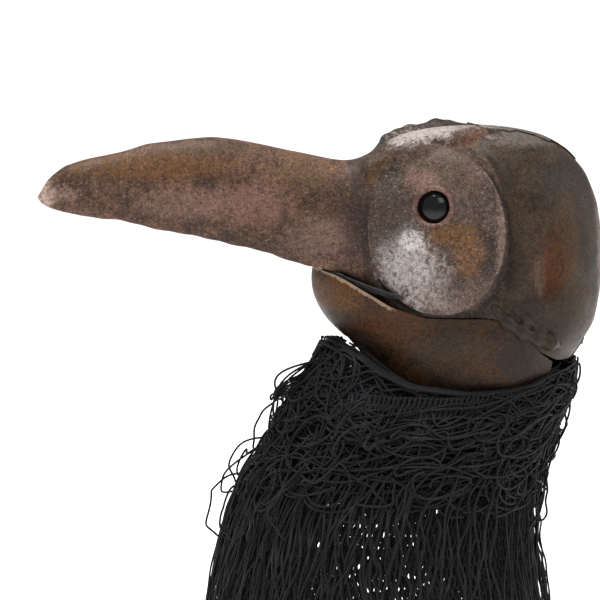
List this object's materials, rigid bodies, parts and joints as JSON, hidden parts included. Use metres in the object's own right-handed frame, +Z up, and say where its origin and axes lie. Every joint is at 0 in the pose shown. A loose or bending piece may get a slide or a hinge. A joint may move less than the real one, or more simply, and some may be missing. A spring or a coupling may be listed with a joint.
{
  "type": "plague doctor mask",
  "caption": "Full-head bird mask with a long beak, raised cheek discs, domed eyes, a hinged lower jaw, an inner head harness and a black yarn and knit neck drape.",
  "frame": {"origin": "middle of the crown pad's underside, where the top of the wearer's head meets it", "axes": "+Z up, the beak points along -Y, +X is the mask's own left side"},
  "size_m": [0.368, 0.6315, 0.598],
  "materials": {
    "cranium_paint": "acrylic paint in brown and ochre layers over papier-mache, satin",
    "face_paint": "acrylic paint in brown and grey-pink layers over papier-mache, satin",
    "beak_paint": "acrylic paint in brown, ochre and grey-pink layers over papier-mache, satin",
    "jaw_paint": "acrylic paint in dark brown and ochre over papier-mache, satin",
    "disc_paint": "silver and pink dry-brushed paint over papier-mache",
    "rim_paint": "pale pink dry-brushed paint over clay",
    "black_lens": "polished",
    "black_plastic": "moulded",
    "steel": "zinc plated",
    "card": "grey board",
    "scrim_cloth": "open black gauze",
    "band_plastic": "moulded",
    "webbing": "woven webbing",
    "foam": "cloth-faced foam",
    "elastic": "braided elastic",
    "knit": "openwork black cotton knit",
    "yarn": "black cotton yarn"
  },
  "bodies": {
    "head": {"beak_middle_former": "card", "beak_root_former": "card", "brow_pad": "foam", "cranium_elastic_buttons": "steel", "cranium_shell": "cranium_paint", "cross_crown_strap": "webbing", "crown_pad": "foam", "crown_strip": "cranium_paint", "face_shell": "face_paint", "front_left_foam_block": "foam", "front_right_foam_block": "foam", "headband": "band_plastic", "knit_drape": "knit", "left_brow_ridge": "face_paint", "left_cheek_disc": "disc_paint", "left_eye_lens": "black_lens", "left_eye_rim": "rim_paint", "left_jaw_elastic": "elastic", "left_jaw_fold": "jaw_paint", "left_jaw_pivot_nut": "steel", "left_jaw_pivot_screw": "steel", "left_lens_retainer": "black_plastic", "left_pivot_spacer": "black_plastic", "long_crown_strap": "webbing", "mouth_scrim": "scrim_cloth", "nape_pad": "foam", "nape_tab": "cranium_paint", "rear_left_foam_block": "foam", "rear_right_foam_block": "foam", "right_brow_ridge": "face_paint", "right_cheek_disc": "disc_paint", "right_eye_lens": "black_lens", "right_eye_rim": "rim_paint", "right_jaw_elastic": "elastic", "right_jaw_fold": "jaw_paint", "right_jaw_pivot_nut": "steel", "right_jaw_pivot_screw": "steel", "right_lens_retainer": "black_plastic", "right_pivot_spacer": "black_plastic", "strap_rivets": "steel", "tab_rivets": "steel", "upper_beak": "beak_paint", "yarn_ruff": "yarn"},
    "jaw": {"chin_pad": "foam", "chin_sling": "webbing", "jaw_elastic_buttons": "steel", "lower_jaw": "jaw_paint", "sling_rivets": "steel"}
  },
  "joints": [
    {"name": "jaw_hinge", "type": "hinge", "parent": "head", "child": "jaw", "pos_m": [0, 0.045, -0.172], "axis": [1, 0, 0], "range_deg": [0, 10], "stiffness_Nm_per_rad": 0.8, "springref_deg": -28.65, "deforming": ["left_jaw_elastic", "right_jaw_elastic"]}
  ]
}
